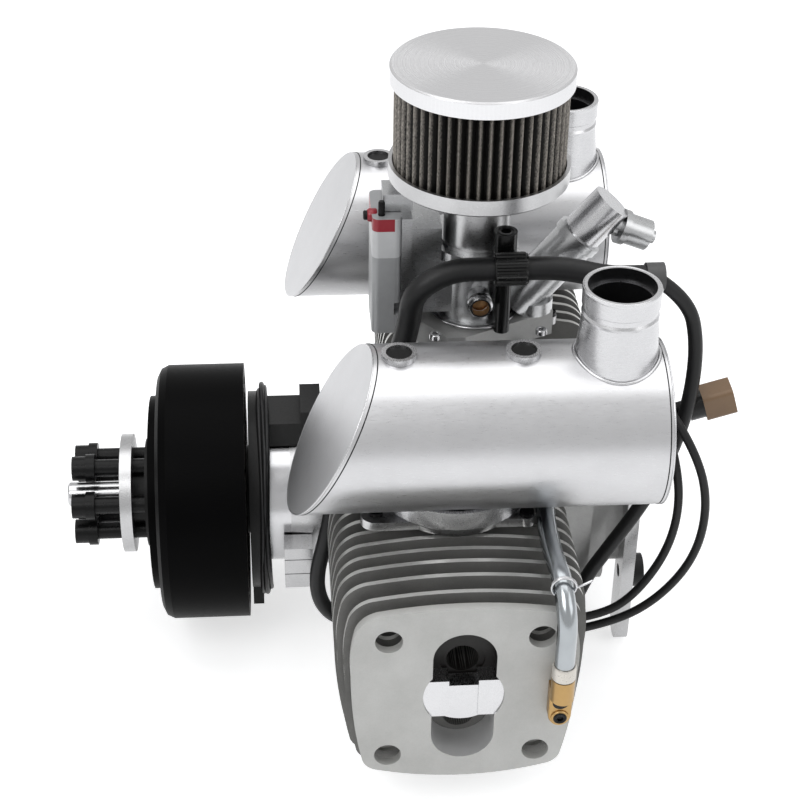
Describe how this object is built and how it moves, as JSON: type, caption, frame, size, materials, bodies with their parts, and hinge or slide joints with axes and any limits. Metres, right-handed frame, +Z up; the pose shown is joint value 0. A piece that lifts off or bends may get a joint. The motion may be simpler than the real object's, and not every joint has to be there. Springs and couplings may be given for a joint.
{
  "type": "flat twin aircraft engine",
  "caption": "Horizontally opposed two-cylinder two-stroke engine with twin mufflers, top air filter, throttle body and a nose generator behind a bolted propeller hub.",
  "frame": {"origin": "where the crankshaft axis meets the rear mounting plane (the rear faces of the rubber isolators)", "axes": "+X rearwards along the crankshaft towards the mounting plane, +Z up towards the air filter, +Y towards the far cylinder"},
  "size_m": [0.3089, 0.3125, 0.2876],
  "materials": {
    "case_cast": "sand-cast, bead blasted",
    "cover_satin": "satin machined",
    "polished": "polished",
    "fin_cast": "cast, blasted",
    "insert_bright": "fine turned",
    "steel_bright": "ground",
    "steel_dark": "blackened",
    "muffler_satin": "satin brushed",
    "stack_satin": "satin spun",
    "plug_black": "matte",
    "bracket_black": "satin black",
    "throttle_satin": "satin machined",
    "filter_mesh": "oiled gauze",
    "servo_grey": "fine matte",
    "servo_white": "satin",
    "servo_red": "satin crimson",
    "copper_core": "dark bronze",
    "post_black": "gloss black",
    "clamp_black": "gloss",
    "hose_rubber": "matte",
    "joiner_grey": "matte",
    "cap_brown": "matte",
    "conduit_steel": "drawn",
    "lug_brass": "brushed",
    "rotor_black": "black satin",
    "stator_iron": "laminated",
    "piston_alloy": "machined"
  },
  "bodies": {
    "engine": {"case_screws": "steel_dark", "crankcase": "case_cast", "cylinder_bolts": "steel_dark", "exhaust_flanges": "cover_satin", "exhaust_saddles": "insert_bright", "far_cylinder": "fin_cast", "far_muffler_shell": "muffler_satin", "filter_base": "cover_satin", "filter_element": "filter_mesh", "filter_lid": "polished", "front_cover": "cover_satin", "head_inserts": "insert_bright", "hose_clamp": "clamp_black", "hose_joiner": "joiner_grey", "hose_post": "post_black", "injector_can": "insert_bright", "injector_fitting": "throttle_satin", "injector_tube": "throttle_satin", "intake_manifold": "case_cast", "main_bearings": "steel_bright", "mount_isolators": "hose_rubber", "mount_plate": "cover_satin", "muffler_caps": "muffler_satin", "muffler_plugs": "plug_black", "near_cylinder": "fin_cast", "near_muffler_shell": "muffler_satin", "nose_blocks": "cover_satin", "nose_ring": "polished", "outlet_stacks": "stack_satin", "port_sensor": "copper_core", "power_lead": "hose_rubber", "rear_connector": "cap_brown", "rear_cover": "case_cast", "reed_valve": "steel_dark", "sender_lug": "lug_brass", "sender_tube": "conduit_steel", "sensor_box": "case_cast", "sensor_lead": "hose_rubber", "servo_case": "servo_grey", "servo_cover": "servo_white", "servo_trim": "servo_red", "stator": "stator_iron", "stator_plate": "bracket_black", "throttle_base": "case_cast", "throttle_body": "throttle_satin", "trigger_lead": "hose_rubber", "vent_hose": "hose_rubber"},
    "crank": {"crankshaft": "steel_bright", "rotor_drum": "rotor_black", "prop_hub": "cover_satin", "prop_washer": "cover_satin", "prop_bolts": "steel_bright", "pilot_pin": "steel_bright"},
    "near_piston_body": {"near_piston": "piston_alloy"},
    "near_rod_body": {"near_rod": "steel_bright"},
    "far_piston_body": {"far_piston": "piston_alloy"},
    "far_rod_body": {"far_rod": "steel_bright"},
    "throttle": {"throttle_shaft": "steel_bright", "throttle_plate": "lug_brass"}
  },
  "joints": [
    {"name": "crank_spin", "type": "hinge", "parent": "engine", "child": "crank", "pos_m": [-0.082, 0, 0], "axis": [1, 0, 0], "continuous": true},
    {"name": "near_piston_slide", "type": "slide", "parent": "engine", "child": "near_piston_body", "axis": [0, 1, 0], "range_m": [0, 0.038]},
    {"name": "far_piston_slide", "type": "slide", "parent": "engine", "child": "far_piston_body", "axis": [0, -1, 0], "range_m": [0, 0.038]},
    {"name": "near_rod_swing", "type": "hinge", "parent": "near_piston_body", "child": "near_rod_body", "pos_m": [-0.098, -0.0945, 0], "axis": [1, 0, 0], "range_deg": [-14, 14]},
    {"name": "far_rod_swing", "type": "hinge", "parent": "far_piston_body", "child": "far_rod_body", "pos_m": [-0.066, 0.0945, 0], "axis": [1, 0, 0], "range_deg": [-14, 14]},
    {"name": "throttle_turn", "type": "hinge", "parent": "engine", "child": "throttle", "pos_m": [-0.082, 0, 0.112], "axis": [1, 0, 0], "range_deg": [0, 80]}
  ],
  "couplings": [
    {"joint": "far_piston_slide", "follows": "near_piston_slide", "ratio": 1},
    {"joint": "far_rod_swing", "follows": "near_rod_swing", "ratio": 1}
  ]
}
